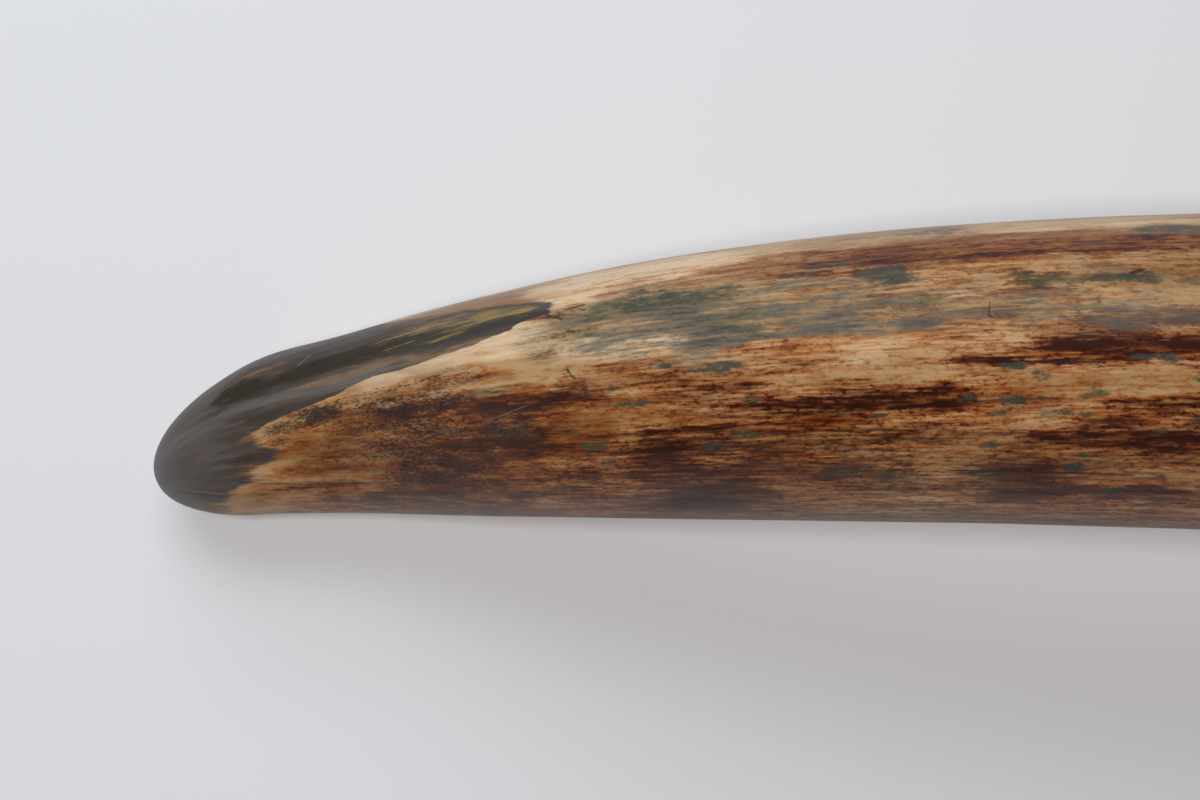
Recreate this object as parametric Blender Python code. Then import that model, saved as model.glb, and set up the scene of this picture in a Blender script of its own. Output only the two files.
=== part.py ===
"""A polished mammoth tusk of about 1.5 m, lying on its side with its worn tip to the left (-X).

The tusk grew as one piece, so it is one solid: a tapered tube bent through a little over a quarter
turn, with a blunt worn tip, a long shallow wear channel beside the tip, and an open pulp cavity in
the root, which is trimmed square and faces -Y. Units are metres and +Z is up.
"""

import math

import bmesh
import bpy
from mathutils import Vector

# Driving dimensions of the whole tusk, along its centreline from the tip
LENGTH = 1.50
STRAIGHT_END = 0.254  # where the centreline runs along +X, a quarter turn before the root
TIP_CURVATURE = 0.623  # per metre, over the nearly straight first stretch
TIP_HOOK = math.radians(19.9)  # further turn within the rounded tip itself
TIP_HOOK_REACH = 0.0293
ROOT_HEADING = math.radians(-90.0)
BEND_EASE = 1.2  # how far the bend straightens again towards the root

# Half widths, seen from above: a blunt cap, then a taper that dies away towards the root
CAP_HALF_WIDTH = 0.0120
CAP_LENGTH = 0.0228
TAPER_HALF_WIDTH = 0.0271
TAPER_REACH = 0.0977
ROOT_GAIN = 0.0096  # slow growth of the half width from tip to root
OVAL = 0.95  # height over width
FLUTE_SHARE = 0.011  # broad shallow flutes, as a share of the half width
FLUTE_COUNT = 3
FLUTE_TWIST = 1.9  # radians that the flutes wind round the tusk per metre

# The worn tip: a channel on the upper outer side, and the soft ridge that borders it
CHANNEL_ANGLE = math.radians(43.0)
CHANNEL_HALF_ANGLE = math.radians(15.0)
CHANNEL_DEPTH = 0.0024
RIDGE_ANGLE = math.radians(20.0)
RIDGE_HALF_ANGLE = math.radians(9.0)
RIDGE_HEIGHT = 0.0009
WEAR_START = 0.006
WEAR_FULL = 0.026
WEAR_FADE = 0.060
WEAR_END = 0.105

# The outer side beside the channel swells near the tip, then dips
OUTER_ANGLE = math.radians(90.0)
OUTER_HALF_ANGLE = math.radians(40.0)
SWELL_HEIGHT = 0.0024
SWELL_PLACE = 0.035
SWELL_REACH = 0.016
DIP_DEPTH = 0.0008
DIP_PLACE = 0.091
DIP_REACH = 0.035

# How it lies: it touches the ground near the tip, past the middle and at the root
TIP_CONTACT = 0.050
MIDDLE_CONTACT = 0.85
TIP_ARCH = 0.052  # the gap under the first stretch, highest a third of the way along it
TIP_ARCH_START = 0.012  # how softly that arch leaves the ground
ARCH_TOP = 1.0 / 3.0  # share of the stretch at which it is highest
ROOT_ARCH = 0.007  # the gap under the second stretch
TIP_RISE = 0.011  # height of the very tip above its underside
TIP_RISE_REACH = 0.042
REST_FLAT = 0.0006  # depth of the small flats worn where it touches

# The pulp cavity in the root
RIM_WALL = 0.013
RIM_ROUND = 0.0025
CAVITY_DEPTH = 0.22
CAVITY_FULLNESS = 0.62  # below 1 the cone's sides bulge outwards

# How finely the surface is divided
SEGMENTS = 40
TIP_STATIONS = 30
BODY_STATIONS = 42
TIP_STRETCH = 0.30  # length that the tip's stations cover
TIP_CROWDING = 1.7  # above 1 the stations are closer together towards the tip
CAVITY_STATIONS = 10
CAVITY_CROWDING = 1.5
CAVITY_END_GAP = 0.0011  # from the cavity's last ring to its point
FIRST_STATION = 0.0006
CENTRELINE_STEP = 0.001

IVORY_TAN = (0.42, 0.22, 0.10, 1.0)
IVORY_ROUGHNESS = 0.38


def eased(value):
    """0 to 1 with a level start and end."""
    held = min(max(value, 0.0), 1.0)
    return held * held * (3.0 - 2.0 * held)


def bell(offset, half_width):
    return math.exp(-((offset / half_width) ** 2))


def heading(along):
    """Direction of the centreline in plan, in radians from +X, at a distance from the tip."""
    turn = TIP_HOOK * math.exp(-along / TIP_HOOK_REACH)
    turn += TIP_CURVATURE * (STRAIGHT_END - along)
    if along > STRAIGHT_END:
        stretch = LENGTH - STRAIGHT_END
        share = (along - STRAIGHT_END) / stretch
        left_over = ROOT_HEADING + TIP_CURVATURE * stretch
        turn += left_over * share * share * (1.0 + BEND_EASE - BEND_EASE * share)
    return turn


def half_width(along):
    cap_share = min(along / CAP_LENGTH, 1.0)
    cap = CAP_HALF_WIDTH * math.sqrt(1.0 - (1.0 - cap_share) ** 2)
    taper = TAPER_HALF_WIDTH * (1.0 - math.exp(-along / TAPER_REACH))
    return cap + taper + ROOT_GAIN * along / LENGTH


def arch_reach(distance):
    """Distance past the tip's contact, growing softly from zero."""
    return math.hypot(distance, TIP_ARCH_START) - TIP_ARCH_START


def gap_below(along):
    """Height of the underside above the ground."""
    if along < TIP_CONTACT:
        return 0.0
    if along < MIDDLE_CONTACT:
        share = arch_reach(along - TIP_CONTACT) / arch_reach(MIDDLE_CONTACT - TIP_CONTACT)
        return TIP_ARCH * share * (1.0 - share) ** 2 / (ARCH_TOP * (1.0 - ARCH_TOP) ** 2)
    share = (along - MIDDLE_CONTACT) / (LENGTH - MIDDLE_CONTACT)
    return ROOT_ARCH * math.sin(math.pi * share) ** 2


def relief(along, angle):
    """Height of the surface over the plain oval, in metres. The angle is from the top, outwards."""
    worn = eased((along - WEAR_START) / (WEAR_FULL - WEAR_START))
    worn *= 1.0 - eased((along - WEAR_FADE) / (WEAR_END - WEAR_FADE))
    height = RIDGE_HEIGHT * worn * bell(angle - RIDGE_ANGLE, RIDGE_HALF_ANGLE)
    height -= CHANNEL_DEPTH * worn * bell(angle - CHANNEL_ANGLE, CHANNEL_HALF_ANGLE)
    outer = SWELL_HEIGHT * bell(along - SWELL_PLACE, SWELL_REACH)
    outer -= DIP_DEPTH * bell(along - DIP_PLACE, DIP_REACH)
    height += outer * bell(angle - OUTER_ANGLE, OUTER_HALF_ANGLE)
    flute = math.cos(FLUTE_COUNT * angle + FLUTE_TWIST * along)
    return height + FLUTE_SHARE * half_width(along) * flute * eased(along / TIP_STRETCH)


def centreline():
    """Points in plan along the centreline, one each CENTRELINE_STEP, from the tip at the origin."""
    points = [Vector((0.0, 0.0, 0.0))]
    steps = round(LENGTH / CENTRELINE_STEP)
    for step in range(steps):
        turn = heading((step + 0.5) * CENTRELINE_STEP)
        ahead = Vector((math.cos(turn), math.sin(turn), 0.0)) * CENTRELINE_STEP
        points.append(points[-1] + ahead)
    return points


PLAN = centreline()


def centre(along):
    """Centre of the section at a distance from the tip, at its real height."""
    place = min(max(along / CENTRELINE_STEP, 0.0), len(PLAN) - 1.0)
    before = min(int(place), len(PLAN) - 2)
    point = PLAN[before].lerp(PLAN[before + 1], place - before)
    underside = half_width(along) * OVAL + relief(along, math.pi)
    rise = TIP_RISE * max(1.0 - along / TIP_RISE_REACH, 0.0) ** 2
    return point + Vector((0.0, 0.0, gap_below(along) + underside + rise - REST_FLAT))


def surface_point(along, angle):
    """A point of the tusk's outside."""
    turn = heading(along)
    outwards = Vector((-math.sin(turn), math.cos(turn), 0.0))
    width = half_width(along) + relief(along, angle)
    height = half_width(along) * OVAL + relief(along, angle)
    offset = outwards * (math.sin(angle) * width)
    offset.z = math.cos(angle) * height
    point = centre(along) + offset
    point.z = max(point.z, 0.0)
    return point


def shrunk_point(along, angle, share):
    """A point of the section at that share of the way from its centre to the outside."""
    middle = centre(along)
    return middle.lerp(surface_point(along, angle), share)


def cavity_share(depth):
    """Half width of the pulp cavity over that of the tusk, at a depth from the root's face."""
    mouth = 1.0 - RIM_WALL / half_width(LENGTH)
    return mouth * max(1.0 - depth / CAVITY_DEPTH, 0.0) ** CAVITY_FULLNESS


def stations():
    """Distances from the tip, close together at the worn tip and even along the body."""
    tip = [
        FIRST_STATION + (TIP_STRETCH - FIRST_STATION) * (step / TIP_STATIONS) ** TIP_CROWDING
        for step in range(TIP_STATIONS + 1)
    ]
    body_end = LENGTH - RIM_ROUND
    body = [
        TIP_STRETCH + (body_end - TIP_STRETCH) * step / BODY_STATIONS
        for step in range(1, BODY_STATIONS + 1)
    ]
    return tip + body


def ring_places():
    """Each ring from the cavity's end, out over the rim and back to the tip, as (along, share)."""
    rings = []
    for step in range(CAVITY_STATIONS):
        depth = CAVITY_DEPTH * (1.0 - step / CAVITY_STATIONS) ** CAVITY_CROWDING
        depth = min(depth, CAVITY_DEPTH - CAVITY_END_GAP)
        rings.append((LENGTH - depth, cavity_share(depth)))
    wide_mouth = cavity_share(0.0) + RIM_ROUND / half_width(LENGTH)
    rings.append((LENGTH - RIM_ROUND, cavity_share(RIM_ROUND)))
    rings.append((LENGTH, wide_mouth))
    rings.append((LENGTH, 1.0 - RIM_ROUND / half_width(LENGTH)))
    rings += [(along, 1.0) for along in reversed(stations())]
    return rings


def place_ring(verts, along, share):
    """Moves a ring of vertices to its section. Half a step of offset turns one flat side down."""
    for number, vert in enumerate(verts):
        angle = 2.0 * math.pi * (number + 0.5) / SEGMENTS
        vert.co = shrunk_point(along, angle, share)


def next_ring(mesh, ring):
    """Extrudes an open edge ring and gives the new ring in the same order."""
    edges = [mesh.edges.get((ring[i], ring[(i + 1) % SEGMENTS])) for i in range(SEGMENTS)]
    made = bmesh.ops.extrude_edge_only(mesh, edges=edges)["geom"]
    fresh = {item for item in made if isinstance(item, bmesh.types.BMVert)}
    partner = {}
    for vert in ring:
        for edge in vert.link_edges:
            other = edge.other_vert(vert)
            if other in fresh:
                partner[vert] = other
    return [partner[vert] for vert in ring]


def tusk_mesh():
    mesh = bmesh.new()
    ring = bmesh.ops.create_circle(mesh, cap_ends=False, segments=SEGMENTS, radius=1.0)["verts"]
    places = ring_places()
    place_ring(ring, *places[0])
    cavity_end = list(ring)
    for along, share in places[1:]:
        ring = next_ring(mesh, ring)
        place_ring(ring, along, share)
    bmesh.ops.pointmerge(mesh, verts=cavity_end, merge_co=centre(LENGTH - CAVITY_DEPTH))
    bmesh.ops.pointmerge(mesh, verts=ring, merge_co=centre(0.0))
    bmesh.ops.recalc_face_normals(mesh, faces=mesh.faces)
    low = Vector([min(vert.co[axis] for vert in mesh.verts) for axis in range(3)])
    high = Vector([max(vert.co[axis] for vert in mesh.verts) for axis in range(3)])
    middle = (low + high) / 2.0
    bmesh.ops.translate(mesh, verts=mesh.verts, vec=(-middle.x, -middle.y, 0.0))
    bmesh.ops.triangulate(mesh, faces=mesh.faces)
    return mesh


def ivory_material():
    material = bpy.data.materials.new("polished_fossil_ivory")
    material.use_nodes = True
    shader = material.node_tree.nodes["Principled BSDF"]
    shader.inputs["Base Color"].default_value = IVORY_TAN
    shader.inputs["Roughness"].default_value = IVORY_ROUGHNESS
    shader.inputs["Metallic"].default_value = 0.0
    return material


def build():
    for old in list(bpy.data.objects):
        bpy.data.objects.remove(old)
    mesh = tusk_mesh()
    data = bpy.data.meshes.new("tusk")
    mesh.to_mesh(data)
    mesh.free()
    data.shade_smooth()
    data.materials.append(ivory_material())
    tusk = bpy.data.objects.new("tusk", data)
    bpy.context.scene.collection.objects.link(tusk)


build()
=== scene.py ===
import math
import random

import bmesh
import bpy
import numpy as np
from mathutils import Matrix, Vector, noise


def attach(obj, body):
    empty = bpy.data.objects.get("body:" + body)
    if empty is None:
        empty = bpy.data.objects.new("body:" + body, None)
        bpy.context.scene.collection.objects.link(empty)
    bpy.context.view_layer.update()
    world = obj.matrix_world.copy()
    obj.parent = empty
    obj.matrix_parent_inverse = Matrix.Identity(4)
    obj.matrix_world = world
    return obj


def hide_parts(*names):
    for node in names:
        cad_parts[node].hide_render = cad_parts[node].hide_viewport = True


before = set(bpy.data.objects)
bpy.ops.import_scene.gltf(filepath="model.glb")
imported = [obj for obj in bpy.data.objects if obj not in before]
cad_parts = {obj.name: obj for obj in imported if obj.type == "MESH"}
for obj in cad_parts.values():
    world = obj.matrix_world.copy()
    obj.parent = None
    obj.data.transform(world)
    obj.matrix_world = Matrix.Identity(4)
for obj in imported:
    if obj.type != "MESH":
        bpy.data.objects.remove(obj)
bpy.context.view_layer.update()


# The tusk
# One curved, mineral stained and wax polished mammoth tusk. It grew in nested cones of dentine, so
# every streak follows its length. The blunt tip is worn smooth and dark, with a shallow wear channel
# along its outer side, and the root is sawn square across the open pulp cavity.

# Shape, the same as the solid's: lengths run along the centreline from the tip
LENGTH = 1.50
STRAIGHT_END = 0.254
TIP_CURVATURE = 0.623
TIP_HOOK = math.radians(19.9)
TIP_HOOK_REACH = 0.0293
ROOT_HEADING = math.radians(-90.0)
BEND_EASE = 1.2
CAP_HALF_WIDTH = 0.0120
CAP_LENGTH = 0.0228
TAPER_HALF_WIDTH = 0.0271
TAPER_REACH = 0.0977
ROOT_GAIN = 0.0096
OVAL = 0.95
FLUTE_SHARE = 0.011
FLUTE_COUNT = 3
FLUTE_TWIST = 1.9
FLUTE_FULL = 0.30
CHANNEL_ANGLE = math.radians(43.0)
CHANNEL_HALF_ANGLE = math.radians(15.0)
CHANNEL_DEPTH = 0.0024
RIDGE_ANGLE = math.radians(20.0)
RIDGE_HALF_ANGLE = math.radians(9.0)
RIDGE_HEIGHT = 0.0009
WEAR_START = 0.006
WEAR_FULL = 0.026
WEAR_FADE = 0.060
WEAR_END = 0.105
OUTER_ANGLE = math.radians(90.0)
OUTER_HALF_ANGLE = math.radians(40.0)
SWELL_HEIGHT = 0.0024
SWELL_PLACE = 0.035
SWELL_REACH = 0.016
DIP_DEPTH = 0.0008
DIP_PLACE = 0.091
DIP_REACH = 0.035
TIP_CONTACT = 0.050
MIDDLE_CONTACT = 0.85
TIP_ARCH = 0.052
TIP_ARCH_START = 0.012
ARCH_TOP = 1.0 / 3.0
ROOT_ARCH = 0.007
TIP_RISE = 0.011
TIP_RISE_REACH = 0.042
REST_FLAT = 0.0006
RIM_WALL = 0.013
RIM_ROUND = 0.0025
CAVITY_DEPTH = 0.22
CAVITY_FULLNESS = 0.62

# Polishing left the surface very slightly uneven, always below the full outline
UNEVEN_DEPTH = 0.00022
UNEVEN_LENGTH = 0.028
UNEVEN_BREADTH = 0.009
SLAB_DEPTH = 0.00030  # long flats that the polisher left
SLAB_LENGTH = 0.090
SLAB_BREADTH = 0.016
SLAB_SHIFT = 7.0
UNEVEN_FULL = 0.02

# How finely the surface is divided
SEGMENTS = 216
TOP_DENSITY = 0.62  # below 1 the upper side gets closer columns than the underside
CAP_RINGS = 16
TIP_RINGS = 278
TIP_SPACING = 0.001
BODY_RINGS = 132
BODY_EVENNESS = 0.40
EDGE_RINGS = 4
RIM_RINGS = 5
CAVITY_RINGS = 20
CAVITY_CLOSENESS = 1.6
MERGE_DISTANCE = 0.000002
CENTRELINE_STEP = 0.001
GRAIN_RADIUS = 0.040  # the radius at which the grain pattern has its true breadth


def eased(value):
    held = min(max(value, 0.0), 1.0)
    return held * held * (3.0 - 2.0 * held)


def bell(offset, half_width):
    return math.exp(-((offset / half_width) ** 2))


def heading(along):
    turn = TIP_HOOK * math.exp(-along / TIP_HOOK_REACH)
    turn += TIP_CURVATURE * (STRAIGHT_END - along)
    if along > STRAIGHT_END:
        stretch = LENGTH - STRAIGHT_END
        share = (along - STRAIGHT_END) / stretch
        left_over = ROOT_HEADING + TIP_CURVATURE * stretch
        turn += left_over * share * share * (1.0 + BEND_EASE - BEND_EASE * share)
    return turn


def half_width(along):
    cap_share = min(along / CAP_LENGTH, 1.0)
    cap = CAP_HALF_WIDTH * math.sqrt(1.0 - (1.0 - cap_share) ** 2)
    taper = TAPER_HALF_WIDTH * (1.0 - math.exp(-along / TAPER_REACH))
    return cap + taper + ROOT_GAIN * along / LENGTH


def arch_reach(distance):
    return math.hypot(distance, TIP_ARCH_START) - TIP_ARCH_START


def gap_below(along):
    if along < TIP_CONTACT:
        return 0.0
    if along < MIDDLE_CONTACT:
        share = arch_reach(along - TIP_CONTACT) / arch_reach(MIDDLE_CONTACT - TIP_CONTACT)
        return TIP_ARCH * share * (1.0 - share) ** 2 / (ARCH_TOP * (1.0 - ARCH_TOP) ** 2)
    share = (along - MIDDLE_CONTACT) / (LENGTH - MIDDLE_CONTACT)
    return ROOT_ARCH * math.sin(math.pi * share) ** 2


def relief(along, angle):
    """Height over the plain oval, in metres. The angle is from the top, towards the outer side."""
    worn = eased((along - WEAR_START) / (WEAR_FULL - WEAR_START))
    worn *= 1.0 - eased((along - WEAR_FADE) / (WEAR_END - WEAR_FADE))
    height = RIDGE_HEIGHT * worn * bell(angle - RIDGE_ANGLE, RIDGE_HALF_ANGLE)
    height -= CHANNEL_DEPTH * worn * bell(angle - CHANNEL_ANGLE, CHANNEL_HALF_ANGLE)
    outer = SWELL_HEIGHT * bell(along - SWELL_PLACE, SWELL_REACH)
    outer -= DIP_DEPTH * bell(along - DIP_PLACE, DIP_REACH)
    height += outer * bell(angle - OUTER_ANGLE, OUTER_HALF_ANGLE)
    flute = math.cos(FLUTE_COUNT * angle + FLUTE_TWIST * along)
    return height + FLUTE_SHARE * half_width(along) * flute * eased(along / FLUTE_FULL)


def grain_place(along, angle):
    """A place in the grain: lengthwise, then the two ways across a tube of the grain's radius."""
    across = GRAIN_RADIUS * math.sin(angle)
    return Vector((along, across, GRAIN_RADIUS * math.cos(angle)))


def unevenness(along, angle):
    place = grain_place(along, angle)
    ripple = Vector((place.x / UNEVEN_LENGTH, place.y / UNEVEN_BREADTH, place.z / UNEVEN_BREADTH))
    slab = Vector(
        (place.x / SLAB_LENGTH + SLAB_SHIFT, place.y / SLAB_BREADTH, place.z / SLAB_BREADTH)
    )
    depth = UNEVEN_DEPTH * (0.5 + 0.5 * noise.noise(ripple))
    depth += SLAB_DEPTH * (0.5 + 0.5 * noise.noise(slab))
    return -depth * eased(along / UNEVEN_FULL)


plan = [Vector((0.0, 0.0, 0.0))]
for step in range(round(LENGTH / CENTRELINE_STEP)):
    turn = heading((step + 0.5) * CENTRELINE_STEP)
    plan.append(plan[-1] + Vector((math.cos(turn), math.sin(turn), 0.0)) * CENTRELINE_STEP)


def centre(along):
    place = min(max(along / CENTRELINE_STEP, 0.0), len(plan) - 1.0)
    before = min(int(place), len(plan) - 2)
    point = plan[before].lerp(plan[before + 1], place - before)
    underside = half_width(along) * OVAL + relief(along, math.pi)
    rise = TIP_RISE * max(1.0 - along / TIP_RISE_REACH, 0.0) ** 2
    return point + Vector((0.0, 0.0, gap_below(along) + underside + rise - REST_FLAT))


def section_point(along, angle, share, middle, outwards, width):
    """A point of the section, at that share of the way from its centre to the outside."""
    swell = relief(along, angle) + unevenness(along, angle)
    offset = outwards * (math.sin(angle) * (width + swell))
    offset.z = math.cos(angle) * (width * OVAL + swell)
    point = middle + offset
    point.z = max(point.z, 0.0)
    return middle.lerp(point, share)


def cavity_share(depth):
    mouth = 1.0 - RIM_WALL / half_width(LENGTH)
    return mouth * max(1.0 - depth / CAVITY_DEPTH, 0.0) ** CAVITY_FULLNESS


# Each ring is (along, share, zone), and the zone rises from the outside to the pulp cavity
OUTSIDE = 0.0
OUTER_EDGE = 0.35
RIM = 1.0
INNER_EDGE = 1.6
CAVITY = 2.0
DENTINE_FROM = 0.3
RIM_MAP_FROM = 0.5
rings = [
    (TIP_SPACING * step * step / (2.0 * CAP_RINGS), 1.0, OUTSIDE) for step in range(CAP_RINGS + 1)
]
cap_end = rings[-1][0]
rings += [(cap_end + TIP_SPACING * step, 1.0, OUTSIDE) for step in range(1, TIP_RINGS + 1)]
tip_end = rings[-1][0]
body_length = LENGTH - RIM_ROUND - tip_end
for step in range(1, BODY_RINGS + 1):
    share = step / BODY_RINGS
    share = BODY_EVENNESS * share + (1.0 - BODY_EVENNESS) * share * share
    rings.append((tip_end + body_length * share, 1.0, OUTSIDE))
root_half = half_width(LENGTH)
round_share = RIM_ROUND / root_half
for step in range(1, EDGE_RINGS + 1):
    swing = 0.5 * math.pi * step / EDGE_RINGS
    back = RIM_ROUND * (1.0 - math.sin(swing))
    share = 1.0 - round_share * (1.0 - math.cos(swing))
    rings.append((LENGTH - back, share, OUTER_EDGE * step / EDGE_RINGS))
outer_share = 1.0 - round_share
inner_share = cavity_share(0.0) + round_share
for step in range(1, RIM_RINGS + 1):
    share = outer_share + (inner_share - outer_share) * step / RIM_RINGS
    rings.append((LENGTH, share, RIM))
for step in range(1, EDGE_RINGS + 1):
    swing = 0.5 * math.pi * step / EDGE_RINGS
    depth = RIM_ROUND * (1.0 - math.cos(swing))
    share = cavity_share(depth) + round_share * (1.0 - math.sin(swing))
    rings.append((LENGTH - depth, share, RIM + (INNER_EDGE - RIM) * step / EDGE_RINGS))
for step in range(1, CAVITY_RINGS + 1):
    inwards = 1.0 - (1.0 - step / CAVITY_RINGS) ** CAVITY_CLOSENESS
    depth = RIM_ROUND + (CAVITY_DEPTH - RIM_ROUND) * inwards
    rings.append((LENGTH - depth, cavity_share(depth), CAVITY))

# The grid is wrapped into the tube: one column of it per angle, one row per ring
mesh = bmesh.new()
bake_map = mesh.loops.layers.uv.new("OFBake")
along_layer = mesh.verts.layers.float.new("along")
angle_layer = mesh.verts.layers.float.new("angle")
zone_layer = mesh.verts.layers.float.new("zone")
share_layer = mesh.verts.layers.float.new("share")
ring_steps = len(rings) - 1
bmesh.ops.create_grid(mesh, x_segments=ring_steps, y_segments=SEGMENTS, size=0.5, calc_uvs=True)

# The lit upper side and the tip get more of the baked map than the underside and the root
TIP_MAP_SHARE = 0.42
BODY_MAP_SHARE = 0.46
map_steps = []
for number, (along, share, zone) in enumerate(rings):
    if zone >= RIM_MAP_FROM:
        first_rim = number
        break
    if along <= tip_end:
        map_steps.append(TIP_MAP_SHARE * along / tip_end)
    else:
        map_steps.append(TIP_MAP_SHARE + BODY_MAP_SHARE * (along - tip_end) / (LENGTH - tip_end))
map_end = map_steps[-1]
for number in range(first_rim, len(rings)):
    past = (number - first_rim + 1) / (len(rings) - first_rim)
    map_steps.append(map_end + (1.0 - map_end) * past)

columns = []
for column in range(SEGMENTS + 1):
    swing = 2.0 * column / SEGMENTS - 1.0
    columns.append(math.pi * (TOP_DENSITY * swing + (1.0 - TOP_DENSITY) * swing ** 3))

for face in mesh.faces:
    for loop in face.loops:
        row = round((loop.vert.co.x + 0.5) * ring_steps)
        loop[bake_map].uv = (map_steps[row], loop.vert.co.y + 0.5)
sections = []
for along, _, _ in rings:
    turn = heading(along)
    outwards = Vector((-math.sin(turn), math.cos(turn), 0.0))
    sections.append((centre(along), outwards, half_width(along)))
for vert in mesh.verts:
    row = round((vert.co.x + 0.5) * ring_steps)
    angle = columns[round((vert.co.y + 0.5) * SEGMENTS)]
    along, share, zone = rings[row]
    vert[along_layer] = along
    vert[angle_layer] = angle
    vert[zone_layer] = zone
    vert[share_layer] = share
    vert.co = section_point(along, angle, share, *sections[row])
bmesh.ops.remove_doubles(mesh, verts=mesh.verts, dist=MERGE_DISTANCE)
bmesh.ops.recalc_face_normals(mesh, faces=mesh.faces)

# The solid's frame has its origin below the middle of the whole tusk
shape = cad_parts["tusk"]
corners = [shape.matrix_world @ Vector(corner) for corner in shape.bound_box]
low_x = min(corner.x for corner in corners)
high_y = max(corner.y for corner in corners)
shift_x = low_x - min(vert.co.x for vert in mesh.verts)
shift_y = high_y - max(vert.co.y for vert in mesh.verts)
bmesh.ops.translate(mesh, verts=mesh.verts, vec=(shift_x, shift_y, 0.0))
for face in mesh.faces:
    face.smooth = True
    is_bare = min(vert[zone_layer] for vert in face.verts) >= DENTINE_FROM
    face.material_index = 1 if is_bare else 0

tusk_data = bpy.data.meshes.new("ivory_tusk")
mesh.to_mesh(tusk_data)
mesh.free()
tusk = bpy.data.objects.new("ivory_tusk", tusk_data)
bpy.context.scene.collection.objects.link(tusk)

# Stains
# Ground water stained the ivory along its grain. A stain is placed as (from mm, to mm, from degrees,
# to degrees, strength): millimetres from the tip, and degrees from the top towards the outer side.
count = len(tusk_data.vertices)
along_mm = np.empty(count, np.float32)
angle_deg = np.empty(count, np.float32)
tusk_data.attributes["along"].data.foreach_get("value", along_mm)
tusk_data.attributes["angle"].data.foreach_get("value", angle_deg)
section_share = np.empty(count, np.float32)
tusk_data.attributes["share"].data.foreach_get("value", section_share)
along_mm = along_mm.astype(np.float64) * 1000.0
angle_rad = angle_deg.astype(np.float64)
angle_deg = np.degrees(angle_rad)


def drift(length, breadth, seed):
    """Smooth noise over the surface, from about -1 to 1, stretched along the grain."""
    xs = along_mm / length + seed
    ys = GRAIN_RADIUS * 1000.0 * np.sin(angle_rad) / breadth
    zs = GRAIN_RADIUS * 1000.0 * np.cos(angle_rad) / breadth
    return np.array([noise.noise(Vector(place)) for place in zip(xs, ys, zs)])


SQUARENESS = 2.4  # 2 would make a stain an ellipse
RAGGED_ACROSS = 1.3
OVERLAP_GAIN = 0.25
ragged_length = drift(9.0, 4.0, 3.0)
ragged_breadth = drift(14.0, 3.0, 41.0)


def stained(stains, ragged=0.45, soft=0.45):
    """Strength of a list of stains at each vertex, from 0 to 1."""
    field = np.zeros(count)
    for first, last, low, high, strength in stains:
        half_long = 0.5 * abs(last - first)
        half_wide = 0.5 * abs(high - low)
        lengthwise = (along_mm - 0.5 * (first + last)) / half_long
        crosswise = (angle_deg - 0.5 * (low + high) + 180.0) % 360.0 - 180.0
        crosswise /= half_wide
        near = (np.abs(lengthwise) < 2.0) & (np.abs(crosswise) < 2.2)
        along_part = np.abs(lengthwise[near] + ragged * ragged_length[near])
        cross_part = np.abs(crosswise[near] + ragged * RAGGED_ACROSS * ragged_breadth[near])
        reach = (along_part ** SQUARENESS + cross_part ** SQUARENESS) ** (1.0 / SQUARENESS)
        dab = np.clip((1.0 + soft - reach) / (2.0 * soft), 0.0, 1.0)
        dab = dab * dab * (3.0 - 2.0 * dab) * strength
        field[near] = np.maximum(field[near], dab) + OVERLAP_GAIN * np.minimum(field[near], dab)
    return np.clip(field, 0.0, 1.0)


def scattered(seed, number, lengths, widths, strengths):
    """Stains of the same kind, strewn over the stretch that starts where the placed ones end."""
    draw = random.Random(seed)
    made = []
    for _ in range(number):
        long = draw.uniform(*lengths)
        wide = draw.uniform(*widths)
        first = draw.uniform(-10.0, LENGTH * 1000.0)
        low = draw.uniform(-180.0, 180.0)
        made.append((first, first + long, low, low + wide, draw.uniform(*strengths)))
    return made


# The placed stains cover the upper half of the tip's last 26 cm, and the scattered ones the rest
PLACED_TO_MM = 262.0
PLACED_FADE_MM = 14.0
PLACED_TO_DEG = 84.0
PLACED_FADE_DEG = 12.0
placed_end = np.clip((along_mm - PLACED_TO_MM) / PLACED_FADE_MM, 0.0, 1.0)
placed_side = np.clip((np.abs(angle_deg) - PLACED_TO_DEG) / PLACED_FADE_DEG, 0.0, 1.0)
elsewhere = np.maximum(placed_end, placed_side)


def both(placed, scattered_stains, among=0.0, **edges):
    """Placed stains, and strewn ones, which show only faintly among the placed ones."""
    strewn = stained(scattered_stains, **edges) * (among + (1.0 - among) * elsewhere)
    return np.maximum(stained(placed, **edges), strewn)


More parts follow.
